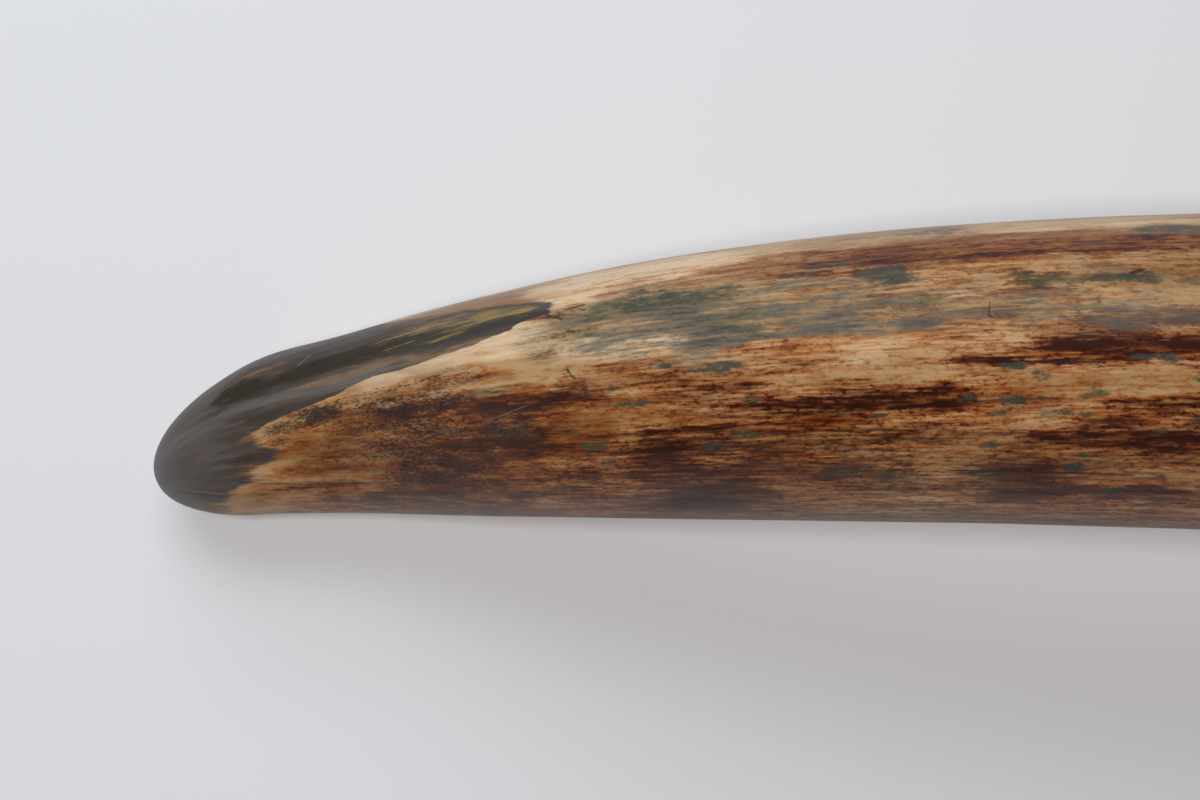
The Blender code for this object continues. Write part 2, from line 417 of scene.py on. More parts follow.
# Rusty brown streaks, fine and close together where they are strong
streak = both(
    [
        # lower side of the worn tip, out to the speckled mass
        (31, 63, -45, -36, 0.45), (34, 94, -62, -46, 0.62), (61, 108, -50, -30, 0.50),
        (31, 108, -90, -60, 0.55), (86, 111, -30, -9, 0.62), (41, 59, -28, -16, 0.38),
        # the mass behind it and the long brown band below the middle
        (88, 124, -6, 5, 0.80), (74, 96, 9, 20, 0.42), (58, 90, -4, 12, 0.40), (113, 120, 4, 9, 0.66),
        (122, 129, 10, 16, 0.45), (128, 146, 2, 13, 0.48), (112, 130, -30, -16, 0.38),
        (130, 147, -22, -13, 0.62), (126, 154, -32, -21, 0.70), (100, 132, -46, -30, 0.55),
        (104, 130, -60, -45, 0.60), (130, 162, -70, -44, 0.72), (134, 160, -11, 3, 0.46),
        (98, 116, -26, -18, 0.55), (107, 115, 20, 25, 0.42), (85, 95, 17, 19.5, 0.62),
        (122, 128, 51, 53, 0.42),
        # from 14 to 22 cm behind the tip
        (158, 210, -14, -3, 0.72), (142, 156, -22, -15, 0.60), (162, 196, -26, -20, 0.50),
        (143, 174, -40, -29, 0.58), (172, 208, -52, -45, 0.50), (150, 179, 3, 8, 0.40),
        (166, 205, 49, 64, 0.42), (166, 192, 44.5, 48.5, 0.55), (180, 204, 18, 32, 0.26),
        (170, 204, -44, -30, 0.36), (190, 216, -24, -17, 0.32), (164, 216, -70, -52, 0.30),
        # from 18 to 28 cm behind the tip
        (176, 242, 54, 64, 0.26), (186, 242, 49, 53.5, 0.56), (237, 285, 49, 62, 0.36),
        (201, 222, 36, 46, 0.34), (220, 236, 33, 43, 0.45), (240, 275, 38, 46, 0.30),
        (232, 285, 14, 23, 0.74), (222, 285, 3, 14, 0.90), (204, 226, 2, 7, 0.72),
        (199, 214, -14, -1, 0.66), (218, 266, -30, -20, 0.52), (236, 275, -16, -10, 0.68),
        (232, 248, -22, -17, 0.56), (216, 236, -46, -30, 0.62), (212, 275, -58, -44, 0.60),
        # towards the underside, and in between
        (112, 166, -95, -52, 0.60), (165, 205, -95, -66, 0.50), (205, 285, -95, -64, 0.58),
        (60, 112, -95, -24, 0.52), (84, 112, -30, 4, 0.72), (64, 88, -6, 10, 0.55),
        (36, 66, -12, 12, 0.36), (142, 206, -34, -12, 0.56), (206, 240, -24, -6, 0.36),
        (240, 285, -36, -10, 0.60), (204, 222, -6, 4, 0.34), (156, 180, 8, 20, 0.36),
        (196, 228, 10, 22, 0.28), (170, 206, 30, 46, 0.36), (204, 250, 24, 40, 0.30),
        (140, 206, -46, -30, 0.50), (204, 220, -48, -44, 0.52), (232, 275, -33, -26, 0.40),
        (200, 216, -26, -22, 0.45), (210, 224, 20, 25, 0.36), (250, 275, -11, -8, 0.5),
        (30, 275, -92, -76, 0.66),
    ],
    scattered(11, 210, (25.0, 110.0), (3.0, 16.0), (0.30, 0.78)),
    among=0.55,
    soft=0.60,
)

# Cores of the same bands that are nearly black
umber = both(
    [
        (34, 61, -42, -39, 0.30), (72, 90, -44, -10, 0.52), (94, 125, -4, 1, 0.62),
        (130, 147, -45, -30, 0.82), (128, 146, -28, -23, 0.60), (144, 160, -46, -36, 0.72),
        (137, 164, -68, -48, 0.56), (132, 146, -19, -16, 0.55), (142, 154, -20, -16, 0.58),
        (164, 206, -12, -5, 0.66), (181, 200, -13, -4, 0.90), (163, 173, -13, -9, 0.72),
        (197, 211, -14, -10, 0.88), (196, 210, -7, -3, 0.52), (169, 191, 45, 48, 0.55),
        (214, 285, 56, 59, 0.26), (250, 285, 60, 66, 0.30), (186, 242, 50, 52.6, 0.70),
        (236, 285, 49, 51.2, 0.75), (207, 226, 3, 6, 0.76), (223, 242, 2.6, 4.4, 0.92),
        (224, 250, 5, 12, 0.72), (226, 285, 7, 10, 0.60), (248, 253, 4, 12, 0.45),
        (223, 240, -25.5, -22, 0.82), (240, 275, -28, -22, 0.62), (253, 275, -13, -11, 0.80),
        (217, 233, -58, -42, 0.80), (218, 236, -42, -36, 0.66), (233, 266, -52, -46, 0.55),
        (208, 218, -47, -45, 0.55), (176, 204, -49, -47, 0.48), (207, 215, 34, 36, 0.60),
        (217, 235, 31.5, 33.5, 0.55), (221, 228, 36, 42, 0.52), (250, 253.5, 37, 39.5, 0.90),
        (143, 146.5, 1, 3, 0.85), (157, 165, -1.5, 0.5, 0.80), (114, 117, 41, 44, 0.70),
        (104, 116, 41.5, 44.5, 0.80), (117, 121, 46, 48, 0.80), (124, 275, -92, -79, 0.50),
    ],
    scattered(23, 130, (18.0, 70.0), (2.0, 9.0), (0.45, 0.95)),
    soft=0.60,
)

# Even orange brown washes
wash = both(
    [
        (166, 205, 49, 66, 0.46), (192, 242, 51, 66, 0.52), (240, 275, 50, 64, 0.40),
        (222, 275, 4, 15, 0.62), (200, 275, -32, -15, 0.30), (106, 128, -28, -6, 0.45),
        (84, 106, -34, -12, 0.52), (31, 76, -30, 14, 0.50), (36, 62, -30, -16, 0.58),
        (150, 206, -27, -13, 0.55), (120, 160, -14, 4, 0.42), (196, 212, -15, 0, 0.42),
        (60, 130, -60, -28, 0.48), (208, 232, -46, -30, 0.45), (88, 124, -7, 3, 0.5),
        (140, 200, -66, -26, 0.28), (200, 275, -68, -30, 0.30), (236, 275, 15, 24, 0.35),
        (118, 142, 3, 14, 0.40), (152, 158, 3, 9, 0.30),
        # the whole lower side
        (52, 112, -95, 4, 0.95), (100, 116, -34, -18, 0.50), (112, 168, -95, -14, 0.72),
        (150, 186, -95, -14, 0.72), (186, 216, -95, -14, 0.42), (195, 285, -95, -12, 0.68),
        (28, 60, -95, 14, 0.62), (165, 285, 45, 67, 0.34), (84, 160, -14, 12, 0.60),
        (150, 285, -6, 22, 0.34),
    ],
    scattered(37, 120, (40.0, 150.0), (6.0, 26.0), (0.25, 0.85)),
    soft=0.60,
)

# Blue green and olive mineral spots
teal = both(
    [
        (116, 158, 34, 51, 0.42), (150, 166, 20, 32, 0.36), (110, 122, 26, 34, 0.46),
        (128, 154, 38, 47, 0.50), (132, 138, 47, 51, 0.60), (142, 159, 5, 10, 0.72),
        (132, 134.5, 8, 12, 0.50), (137, 141.5, 8.5, 12, 0.66), (125, 130, 1, 3.4, 0.48),
        (117, 121, 0, 3, 0.56), (125, 137, -6.8, -4, 0.66), (109, 114, -5, -2, 0.50),
        (109, 117, -18, -13, 0.50), (117, 125, -26, -19, 0.62), (121, 126, -34, -30, 0.62),
        (108, 113, -36, -33, 0.45), (108, 116, -49, -45, 0.42), (127, 134, -50, -45, 0.42),
        (92, 108, -22, -6, 0.44), (119, 125, 27, 33, 0.52), (107, 115, 20, 25, 0.40),
        (94, 101, 5.5, 9, 0.50), (170, 173, 45.5, 48, 0.60), (175, 179, 49, 52, 0.55),
        (176, 190, 49, 54, 0.55), (183, 202, 39, 49, 0.85), (194, 198, 57, 60, 0.60),
        (158, 162.5, -8, -4.5, 0.62), (155, 160.5, -24, -19.5, 0.62), (148, 155, -30, -24, 0.58),
        (171, 174, 9, 11.5, 0.44), (182, 185, 4, 7, 0.50), (185.5, 189, 4, 7, 0.60),
        (191.5, 194, 6, 8.5, 0.42), (185, 188, -1, 1, 0.44), (179, 182, -15, -12.5, 0.58),
        (187, 192, -16.5, -14, 0.58), (171, 174, -14.5, -13, 0.50), (173, 186, -42, -37, 0.52),
        (188, 198, -43, -38, 0.70), (180, 185, -34, -30, 0.44), (199, 206, 24, 34, 0.44),
        (208.5, 213, -10.5, -7.5, 0.78), (218, 225, -13, -8, 0.74), (225, 229.5, -3, 1.5, 0.66),
        (218.5, 225, 0.5, 4, 0.84), (220, 224, -4, -2, 0.52), (226, 230, -10.5, -8.5, 0.55),
        (214, 221, -16, -13.8, 0.66), (224, 235, -15.6, -13, 0.60), (235, 240, -16.5, -14, 0.66),
        (236.5, 243.5, -9.5, -6.5, 0.66), (238, 241.5, -5.5, -3.8, 0.55), (244, 249, -7.5, -5, 0.44),
        (226, 233, -18.5, -16, 0.42), (221, 235, 33, 42, 0.58), (236, 255, 33.5, 37, 0.74),
        (235, 245, 22, 31, 0.30), (247, 275, 31, 39, 0.40), (240, 246, 54, 57.5, 0.60),
        (255, 272, 59, 67, 0.66), (198, 216, 64, 78, 0.50), (254, 260, 2, 6, 0.80),
        (248, 254, 3.5, 5.5, 0.70), (261, 266, -3.5, -0.5, 0.60), (251, 275, -20, -15.5, 0.50),
        (212, 219, -30.5, -25.5, 0.55), (236, 240.5, -32.5, -29.5, 0.60),
        (241, 247.5, -33.5, -30.5, 0.50), (233, 238.5, -37.5, -34.8, 0.80),
        (255, 258.5, -43, -38, 0.60), (242, 249, -50, -45.5, 0.58), (207, 213, -51, -48.5, 0.44),
        (213, 219, -43.5, -37.5, 0.55), (205, 251, -41, -38.5, 0.52), (253, 257, -24, -20, 0.50),
        (210, 224, -74, -71, 0.50), (266, 275, 24, 28, 0.4), (266, 272, -37, -33, 0.6),
        (164, 170, 60, 62, 0.42),
    ],
    scattered(53, 330, (4.0, 26.0), (2.0, 9.0), (0.45, 0.85)),
    ragged=0.55,
    soft=0.45,
)

# Soft blue grey and mauve hazes deeper in the ivory
slate = both(
    [
        (112, 166, 14, 49, 0.60), (122, 152, 20, 42, 0.60), (143, 163, 14, 28, 1.00),
        (152, 160, 15, 22, 0.92), (158, 182, 16.5, 21.5, 0.82), (160, 206, 16, 36, 0.48),
        (150, 206, 26, 46, 0.44), (194, 206, 16, 22, 0.66), (204, 222, 20, 25, 0.48),
        (206, 262, 16, 42, 0.34), (182, 216, 66, 84, 0.40), (112, 285, -74, -26, 0.28),
        (34, 112, -70, 4, 0.26), (226, 246, 17, 31, 0.36), (238, 275, 16, 24, 0.60),
        (104, 114, 28, 34, 0.60), (113, 130, 28, 38, 0.50), (105, 115, 18, 25, 0.34),
        (252, 275, 60, 68, 0.40), (72, 112, 60, 90, 0.22), (91, 99, 5, 9, 0.55),
        (124, 166, -48, -34, 0.14), (128, 160, -68, -48, 0.18), (210, 236, -60, -36, 0.14),
        (110, 275, -92, -74, 0.40), (40, 110, -90, -56, 0.32),
    ],
    scattered(71, 70, (30.0, 110.0), (8.0, 30.0), (0.25, 0.80)),
    ragged=0.40,
    soft=0.70,
)

# Clean pale ivory
pale = both(
    [
        (76, 112, 20, 34, 0.66), (89, 112, 31, 43, 1.00), (58, 78, 17, 28, 0.62),
        (106, 165, 55, 80, 0.92), (108, 126, 46, 62, 0.80), (108, 144, 14, 27, 0.66),
        (40, 54, 13, 18, 0.42), (160, 200, 1, 9, 0.40), (172, 198, 5, 14, 0.45),
        (204, 216, 24, 34, 0.50), (208, 226, 10, 20, 0.36), (212, 275, 65, 82, 0.62),
        (200, 214, 36, 46, 0.36), (190, 216, -72, -36, 0.50), (150, 175, 62, 78, 0.45),
        (170, 212, -66, -52, 0.30),
    ],
    scattered(89, 80, (40.0, 150.0), (8.0, 30.0), (0.25, 0.75)),
    ragged=0.35,
    soft=0.60,
)

# Golden ivory
golden = both(
    [
        (31, 80, -40, 16, 0.60), (58, 92, 14, 28, 0.40), (104, 128, -30, -8, 0.85),
        (80, 88, -22, -14, 0.85), (72, 86, -50, -36, 0.55), (21, 33, -64, -36, 0.40),
        (150, 192, -20, -12, 0.60), (142, 175, 46, 60, 0.40), (165, 285, 48, 66, 0.85),
        (216, 275, -20, 2, 0.36), (240, 275, 30, 46, 0.50), (118, 150, -14, 2, 0.25),
        (90, 112, 56, 76, 0.70), (76, 104, 58, 80, 0.75), (38, 92, 13, 33, 0.42),
    ],
    scattered(97, 60, (40.0, 130.0), (8.0, 34.0), (0.2, 0.7)),
    ragged=0.35,
    soft=0.60,
)

# Blue black manganese speckles
speckle = both(
    [
        (58, 92, -58, 12, 0.55), (64, 86, -44, -4, 0.50), (58, 90, -4, 14, 0.66), (35, 50, 2, 13, 0.52),
        (62, 76, -20, 8, 0.45), (74, 94, 8, 22, 0.52), (84, 112, -40, -6, 0.40), (32, 43, 2, 12, 0.66),
        (34, 42, -6, 1, 0.60), (44, 56, 5, 16, 0.85), (45, 63, -16, 14, 0.44), (53, 67, 4, 20, 0.48),
        (49, 59, -30, -14, 0.34), (90, 108, -24, -4, 0.52), (78, 84, 14, 24, 0.40),
        (30, 61, -34, 4, 0.30), (108, 122, 26, 34, 0.46), (207, 218, -14, -5, 0.46),
        (214, 220, 20, 27, 0.40), (128, 164, -12, 4, 0.26), (92, 134, -60, -28, 0.32),
        (57, 78, -68, -44, 0.38), (174, 200, -30, -22, 0.26), (114, 118, 6, 13, 0.52),
    ],
    scattered(101, 60, (20.0, 60.0), (10.0, 34.0), (0.25, 0.8)),
    ragged=0.75,
    soft=0.85,
)

# Yellow olive streaks at the outer end of the dark coat
olive = stained(
    [
        (84, 112, 47, 55, 1.00), (66, 92, 53, 59, 0.75), (80, 94, 42, 47, 0.70),
        (92, 106, 54, 60, 0.55), (54, 84, 46, 52, 0.34), (66, 73, 33, 42, 0.36), (52, 62, 31, 38, 0.36),
    ],
    ragged=0.35,
    soft=0.50,
)

# Tones of the dark coat: a painted sheen of light grey along its ridge, its upper edge and its tip, its
# black channel and the tan that shows through it
painted_coat_sheen = stained(
    [
        (22, 36, 33, 45, 1.00), (33, 52, 27, 39, 1.00), (44, 68, 22, 34, 0.85), (4, 26, 50, 84, 0.95),
        (4, 22, -10, 30, 0.60), (56, 84, 27, 36, 0.45), (6, 22, -90, -45, 0.55), (20, 64, 68, 92, 0.60),
        (10, 28, -44, -16, 0.50),
    ],
    ragged=0.40,
    soft=0.60,
)
coat_black = stained(
    [
        (24, 36, 48, 62, 1.00), (34, 80, 43, 57, 1.00), (60, 116, 40, 46, 0.85),
        (62, 100, 46, 52, 0.60), (25, 36, 22, 30, 0.75), (30, 44, 16, 24, 0.50),
        (23, 36, -12, -4, 0.45), (40, 66, 15, 24, 0.40), (92, 116, 42, 48, 0.70),
    ],
    ragged=0.40,
    soft=0.50,
)
coat_tan = stained(
    [
        (45, 60, 31, 39, 0.62), (54, 74, 33, 43, 0.60), (32, 43, 58, 64, 0.55),
        (21, 34, -43, -32, 0.72), (17, 33, -62, -49, 0.80), (24, 34, -24, -14, 0.50),
        (27, 33, -4, 10, 0.40), (70, 108, 28, 38, 0.60), (26, 34, 60, 66, 0.35),
        (6, 18, -78, -48, 0.55), (48, 76, 32, 42, 0.62), (72, 112, 60, 78, 0.62),
        (78, 112, 53, 60, 0.50),
    ],
    ragged=0.55,
    soft=0.60,
)

# The dark coat of the worn tip ends at these distances, by degrees from the top
COAT_EDGE = [
    (-180, 22), (-130, 14), (-90, 14), (-75, 15), (-60, 17), (-48, 18), (-42, 20), (-36, 22), (-30, 27),
    (-20, 29), (-15, 33), (-8, 37), (0, 33), (10, 33), (14, 36), (16, 44), (18, 51), (20, 57), (24, 60),
    (27, 66), (28, 75), (30, 80), (32, 85), (33, 92), (38, 101), (43, 109), (45, 113), (49, 113),
    (53, 112), (57, 107), (60, 99), (63, 92), (66, 86), (70, 79), (80, 71), (95, 60), (115, 45),
    (150, 28), (180, 22),
]
coat_end = np.interp(angle_deg, [edge[0] for edge in COAT_EDGE], [edge[1] for edge in COAT_EDGE])
COAT_RAGGED_MM = (2.2, 1.2)
coat_end += COAT_RAGGED_MM[0] * ragged_length + COAT_RAGGED_MM[1] * ragged_breadth
coat_fade = np.interp(angle_deg, [-40.0, 8.0, 16.0, 46.0, 60.0], [15.0, 9.0, 2.4, 2.4, 12.0])
coat = np.clip(0.5 + (coat_end - along_mm) / coat_fade, 0.0, 1.0)


def keep(name, *values):
    """Stores four values at each vertex as a colour, or three as a vector."""
    kind, field = ("FLOAT_COLOR", "color") if len(values) == 4 else ("FLOAT_VECTOR", "vector")
    layer = tusk_data.attributes.new(name, kind, "POINT")
    layer.data.foreach_set(field, np.stack(values, axis=1).astype(np.float32).ravel())


keep("iron", streak, umber, wash, pale)
keep("mineral", teal, slate, golden, speckle)
keep("wear", coat, olive, np.zeros(count), section_share)
keep("coat", painted_coat_sheen, coat_black, coat_tan, np.ones(count))
keep("place", along_mm, angle_deg, np.zeros(count))

# Wear cut the grain of the tip at a slant, over its upper and lower sides
SLANT = 34.0  # degrees of turn at the very tip
SLANT_REACH = 30.0  # mm
slant_side = np.interp(np.abs(angle_deg + 20.0), [0.0, 60.0], [1.0, 0.0])
slant = SLANT * np.exp(-along_mm / SLANT_REACH) * slant_side
grain_angle = angle_rad - np.radians(slant)
across, over = GRAIN_RADIUS * np.sin(grain_angle), GRAIN_RADIUS * np.cos(grain_angle)
keep("grain", along_mm / 1000.0, across, over)


# Material of the polished outside
class Net:
    """Adds nodes to a node tree and links them. A value or a socket may be given for any input."""

    def __init__(self, tree):
        self.tree = tree

    def put(self, kind, inputs=(), out=0, **settings):
        node = self.tree.nodes.new(kind)
        for name, value in settings.items():
            setattr(node, name, value)
        for place, value in dict(inputs).items():
            if isinstance(value, bpy.types.NodeSocket):
                self.tree.links.new(value, node.inputs[place])
            else:
                node.inputs[place].default_value = value
        return node.outputs[out]

    def attribute(self, name, out=1):
        settings = {"attribute_name": name, "attribute_type": "GEOMETRY"}
        return self.put("ShaderNodeAttribute", (), out, **settings)

    def math(self, operation, first, second=0.0, third=0.0, clamp=False):
        inputs = {0: first, 1: second, 2: third}
        return self.put("ShaderNodeMath", inputs, operation=operation, use_clamp=clamp)

    def mix(self, share, first, second, blend="MIX"):
        inputs = {0: share, 6: first, 7: second}
        return self.put("ShaderNodeMix", inputs, 2, data_type="RGBA", blend_type=blend)

    def ramp(self, value, stops):
        node = self.put("ShaderNodeValToRGB", {0: value}).node
        points = node.color_ramp.elements
        points[0].position, points[0].color = stops[0]
        points[1].position, points[1].color = stops[-1]
        for place, tint in stops[1:-1]:
            points.new(place).color = tint
        return node.outputs[0]

    def steps(self, value, low, high, start=0.0, end=1.0):
        inputs = {"Value": value, "From Min": low, "From Max": high, "To Min": start, "To Max": end}
        return self.put("ShaderNodeMapRange", inputs, interpolation_type="SMOOTHSTEP")


def group_tree(name, inputs, outputs):
    tree = bpy.data.node_groups.new(name, "ShaderNodeTree")
    for label, kind, value in inputs:
        socket = tree.interface.new_socket(label, in_out="INPUT", socket_type=kind)
        if value is not None:
            socket.default_value = value
    for label, kind in outputs:
        tree.interface.new_socket(label, in_out="OUTPUT", socket_type=kind)
    return tree, tree.nodes.new("NodeGroupInput"), tree.nodes.new("NodeGroupOutput")


VALUE = "NodeSocketFloat"

# Noise stretched along the grain: length and breadth of its marks are in millimetres
grain_noise, entry, leave = group_tree(
    "grain noise",
    [
        ("Grain", "NodeSocketVector", None), ("Length", VALUE, 20.0), ("Breadth", VALUE, 1.0),
        ("Shift", VALUE, 0.0), ("Detail", VALUE, 3.0), ("Roughness", VALUE, 0.55),
    ],
    [("Value", VALUE)],
)
net = Net(grain_noise)
parts = entry.outputs
split = net.put("ShaderNodeSeparateXYZ", {0: parts["Grain"]}).node.outputs
per_length = net.math("DIVIDE", 1000.0, parts["Length"])
per_breadth = net.math("DIVIDE", 1000.0, parts["Breadth"])
stretched = net.put(
    "ShaderNodeCombineXYZ",
    {
        0: net.math("MULTIPLY_ADD", split[0], per_length, parts["Shift"]),
        1: net.math("MULTIPLY_ADD", split[1], per_breadth, parts["Shift"]),
        2: net.math("MULTIPLY", split[2], per_breadth),
    },
)
cloud = net.put(
    "ShaderNodeTexNoise",
    {
        "Vector": stretched, "Scale": 1.0, "Detail": parts["Detail"],
        "Roughness": parts["Roughness"], "Lacunarity": 2.1,
    },
)
grain_noise.links.new(cloud, leave.inputs["Value"])

# A stain's mask: its strength sets how much of the noise rises above the edge
stain_edge, entry, leave = group_tree(
    "stain edge",
    [
        ("Strength", VALUE, 0.0), ("Noise", VALUE, 0.5), ("Breakup", VALUE, 1.5),
        ("Level", VALUE, 0.5), ("Soft", VALUE, 0.08),
    ],
    [("Mask", VALUE)],
)
net = Net(stain_edge)
parts = entry.outputs
spread = net.math("SUBTRACT", parts["Noise"], 0.5)
lifted = net.math("MULTIPLY_ADD", spread, parts["Breakup"], parts["Strength"])
mask = net.steps(
    lifted,
    net.math("SUBTRACT", parts["Level"], parts["Soft"]),
    net.math("ADD", parts["Level"], parts["Soft"]),
)
stain_edge.links.new(mask, leave.inputs["Mask"])

# A fine straight mark, from one place to another. Places are in millimetres and degrees, and near
# the tip a degree is about 0.6 mm across.
fine_mark, entry, leave = group_tree(
    "fine mark",
    [
        ("Here", "NodeSocketVector", None), ("From", "NodeSocketVector", None),
        ("To", "NodeSocketVector", None), ("Breadth", VALUE, 0.5), ("Ragged", VALUE, 0.0),
    ],
    [("Mask", VALUE)],
)
net = Net(fine_mark)
parts = entry.outputs
DEGREE_BREADTH = (1.0, 0.6, 0.0)


def vector_math(operation, first, second=(0.0, 0.0, 0.0), out=0):
    return net.put("ShaderNodeVectorMath", {0: first, 1: second}, out, operation=operation)


start_here = vector_math("SUBTRACT", parts["Here"], parts["From"])
start_here = vector_math("MULTIPLY", start_here, DEGREE_BREADTH)
start_end = vector_math("SUBTRACT", parts["To"], parts["From"])
start_end = vector_math("MULTIPLY", start_end, DEGREE_BREADTH)
passed = vector_math("DOT_PRODUCT", start_here, start_end, 1)
whole = vector_math("DOT_PRODUCT", start_end, start_end, 1)
share = net.math("DIVIDE", passed, whole, clamp=True)
scaled = net.put("ShaderNodeVectorMath", {0: start_end, 3: share}, operation="SCALE")
away = vector_math("LENGTH", vector_math("SUBTRACT", start_here, scaled), out=1)
reach = net.math("DIVIDE", away, net.math("MULTIPLY", parts["Breadth"], 0.5))
mask = net.steps(net.math("ADD", reach, parts["Ragged"]), 1.35, 0.55)
fine_mark.links.new(mask, leave.inputs["Mask"])

IVORY_IOR = 1.54
ivory = bpy.data.materials.new("polished_stained_ivory")
ivory.use_nodes = True
net = Net(ivory.node_tree)
shader = ivory.node_tree.nodes["Principled BSDF"]


def strengths(name):
    """The four strengths that are kept under the name."""
    node = net.attribute(name).node
    split = net.put("ShaderNodeSeparateColor", {0: node.outputs["Color"]}).node
    return split.outputs[0], split.outputs[1], split.outputs[2], node.outputs["Alpha"]


def group(tree, **inputs):
    return net.put("ShaderNodeGroup", inputs, node_tree=tree)


def grained(length, breadth, shift, detail=3.0, roughness=0.55):
    return group(
        grain_noise, Grain=place, Length=length, Breadth=breadth,
        Shift=shift, Detail=detail, Roughness=roughness,
    )


def edged(strength, pattern, breakup, level=0.5, soft=0.08):
    return group(stain_edge, Strength=strength, Noise=pattern, Breakup=breakup, Level=level, Soft=soft)


place = net.attribute("grain")
streaks, umbers, washes, pales = strengths("iron")
teals, slates, goldens, speckles = strengths("mineral")
coats, olives, _, _ = strengths("wear")
painted_sheens, blacks, bares, _ = strengths("coat")

# Albedos of the clean ivory
TAN = (0.415, 0.248, 0.118, 1.0)
PEACH = (0.52, 0.322, 0.172, 1.0)
CREAM = (0.75, 0.555, 0.370, 1.0)
GOLD = (0.29, 0.140, 0.050, 1.0)

# What each stain lets through as it thickens
UMBER_TINTS = [
    (0.00, (1.00, 1.00, 1.00, 1.0)), (0.11, (0.92, 0.86, 0.80, 1.0)), (0.27, (0.73, 0.55, 0.43, 1.0)),
    (0.45, (0.49, 0.32, 0.24, 1.0)), (0.64, (0.28, 0.152, 0.120, 1.0)),
    (0.82, (0.145, 0.066, 0.058, 1.0)), (1.00, (0.070, 0.027, 0.032, 1.0)),
]
RUST_TINTS = [
    (0.00, (1.00, 1.00, 1.00, 1.0)), (0.11, (0.95, 0.83, 0.68, 1.0)), (0.27, (0.83, 0.53, 0.32, 1.0)),
    (0.45, (0.60, 0.295, 0.140, 1.0)), (0.64, (0.34, 0.118, 0.058, 1.0)),
    (0.82, (0.160, 0.052, 0.036, 1.0)), (1.00, (0.070, 0.027, 0.028, 1.0)),
]
SLATE = (0.112, 0.108, 0.090, 1.0)
MOSS = (0.128, 0.120, 0.070, 1.0)
DEEP_SLATE = (0.046, 0.045, 0.052, 1.0)
MAUVE = (0.108, 0.070, 0.058, 1.0)
DEEP_MAUVE = (0.052, 0.035, 0.034, 1.0)
TEAL = (0.028, 0.048, 0.043, 1.0)
OLIVE_GREEN = (0.062, 0.060, 0.034, 1.0)
BLUE_BLACK = (0.020, 0.018, 0.020, 1.0)
MASS_BROWN = (0.046, 0.029, 0.024, 1.0)
# Painted sheen: the light grey of the very tip
TIP_SHEEN_GREY = (0.096, 0.093, 0.098, 1.0)
# Painted sheen: the light grey given to the coat's ridge, upper edge and tip
SHEEN_GREY = (0.084, 0.074, 0.070, 1.0)
CHANNEL_BLACK = (0.019, 0.018, 0.0155, 1.0)
COAT_TAN = (0.170, 0.098, 0.052, 1.0)
COAT_GREY = (0.052, 0.048, 0.049, 1.0)
COAT_BROWN = (0.052, 0.038, 0.033, 1.0)
YELLOW_OLIVE = (0.250, 0.172, 0.048, 1.0)
SCRATCH_GREY = (0.20, 0.15, 0.13, 1.0)

long_fibres = grained(45.0, 0.90, 1.0, 3.0, 0.6)
fine_fibres = grained(6.0, 0.50, 5.0, 2.0)
bands = grained(70.0, 5.0, 9.0, 3.0)
blotches = grained(26.0, 7.0, 13.0, 3.0)
dashes = grained(9.0, 0.85, 21.0, 3.0, 0.55)
long_dashes = grained(24.0, 1.90, 33.0, 5.0, 0.60)
short_dashes = grained(3.2, 0.60, 39.0, 2.0, 0.5)
spots = grained(4.2, 1.7, 47.0, 3.0, 0.6)
dots = grained(1.1, 0.8, 61.0, 4.0, 0.68)
split = net.put("ShaderNodeSeparateXYZ", {0: place}).node.outputs


def centred(pattern, amount, added=0.0):
    return net.math("MULTIPLY_ADD", net.math("SUBTRACT", pattern, 0.5), amount, added)


# Bare ivory: tan to peach in long bands, with fine fibres
colour = net.mix(net.steps(bands, 0.35, 0.65), TAN, PEACH)
colour = net.mix(edged(goldens, blotches, 1.1, 0.5, 0.35), colour, GOLD)
colour = net.mix(edged(pales, bands, 0.9, 0.55, 0.38), colour, CREAM)
fibre_shade = centred(long_fibres, 0.28, 0.96)
fibre_shade = centred(fine_fibres, 0.18, fibre_shade)
shade_colour = net.put("ShaderNodeCombineColor", {0: fibre_shade, 1: fibre_shade, 2: fibre_shade})
colour = net.mix(1.0, colour, shade_colour, "MULTIPLY")

# Iron: orange, then rust, chocolate and nearly black as the stain thickens
iron = net.math("MULTIPLY_ADD", streaks, 0.62, 0.05)
iron = net.math("MULTIPLY_ADD", umbers, 0.48, iron)
iron = net.math("MULTIPLY_ADD", washes, 0.30, iron)
near_tip = net.steps(split[0], 0.140, 0.070)
patches = centred(grained(7.5, 3.8, 57.0, 5.0, 0.62), net.math("MULTIPLY_ADD", near_tip, 1.3, 0.9))
crisp = net.math("MULTIPLY", net.steps(dashes, 0.40, 0.60), 0.34)
grit_pattern = grained(2.2, 1.00, 43.0, 3.0, 0.6)
grit = net.math("MULTIPLY", net.steps(grit_pattern, 0.53, 0.62), 0.30)
grit = net.math("MULTIPLY_ADD", net.steps(dots, 0.57, 0.64), 0.28, centred(grit_pattern, 0.30, grit))
variation = centred(short_dashes, 0.30, centred(long_dashes, 1.25, crisp))
variation = net.math("MULTIPLY", variation, net.math("MULTIPLY_ADD", near_tip, -0.65, 1.0))
grit = net.math("MULTIPLY", grit, net.math("MULTIPLY_ADD", near_tip, -0.45, 1.0))
variation = net.math("ADD", variation, net.math("ADD", patches, grit))
variation = net.math("SUBTRACT", variation, 0.225)
reach = net.math("MULTIPLY_ADD", iron, 2.1, 0.27)
reach = net.math("MINIMUM", reach, 1.35)
reach = net.math("MULTIPLY", reach, net.math("MULTIPLY_ADD", washes, -0.36, 1.0))
iron = net.math("MULTIPLY_ADD", variation, reach, iron)
iron = net.math("DIVIDE", iron, 1.1)
rusty = centred(grained(18.0, 1.8, 29.0, 4.0, 0.6), 2.4, centred(bands, 1.5, 0.42))
rusty = net.math("MULTIPLY_ADD", goldens, 0.45, rusty)
tint = net.mix(net.steps(rusty, 0.1, 0.9), net.ramp(iron, UMBER_TINTS), net.ramp(iron, RUST_TINTS))
